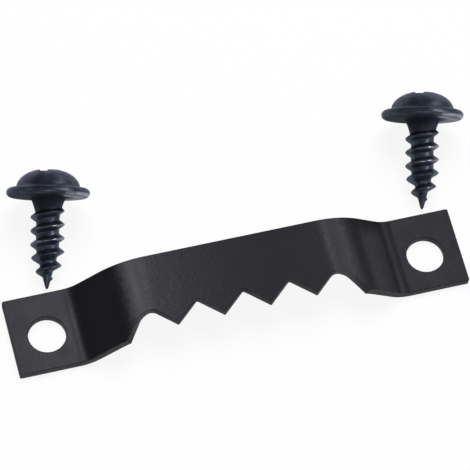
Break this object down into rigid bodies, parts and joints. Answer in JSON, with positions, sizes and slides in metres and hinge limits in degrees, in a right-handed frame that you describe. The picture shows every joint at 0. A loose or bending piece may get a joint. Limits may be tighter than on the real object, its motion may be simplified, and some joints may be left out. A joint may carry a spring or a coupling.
{
  "type": "sawtooth picture hanger",
  "caption": "Bent steel sawtooth picture hanger: flat tabs with screw holes, a raised bridge with a toothed edge for a nail, and loose washer-head wood screws.",
  "frame": {"origin": "midway between the two screw holes, on the plane that the tabs' undersides lie in", "axes": "+X along the strip, +Y from the teeth to the plain edge, which is up when a picture hangs, +Z out of the frame that the strip is screwed to"},
  "size_m": [0.0508, 0.0205, 0.008],
  "materials": {
    "black_strip_steel": "matt black-coated sheet steel",
    "black_screw_steel": "semi-gloss blue-black oxide on steel"
  },
  "bodies": {
    "hanger": {"hanger_strip": "black_strip_steel"},
    "left_screw": {"left_screw": "black_screw_steel"},
    "right_screw": {"right_screw": "black_screw_steel"}
  },
  "joints": [
    {"name": "left_screw_turn", "type": "hinge", "parent": "hanger", "child": "left_screw", "pos_m": [-0.01869, 0.00498, 0.00055], "axis": [-0.2231, -0.9085, -0.3534], "continuous": true},
    {"name": "right_screw_turn", "type": "hinge", "parent": "hanger", "child": "right_screw", "pos_m": [0.02101, 0.00514, 0.00055], "axis": [-0.2231, -0.9085, -0.3534], "continuous": true}
  ]
}
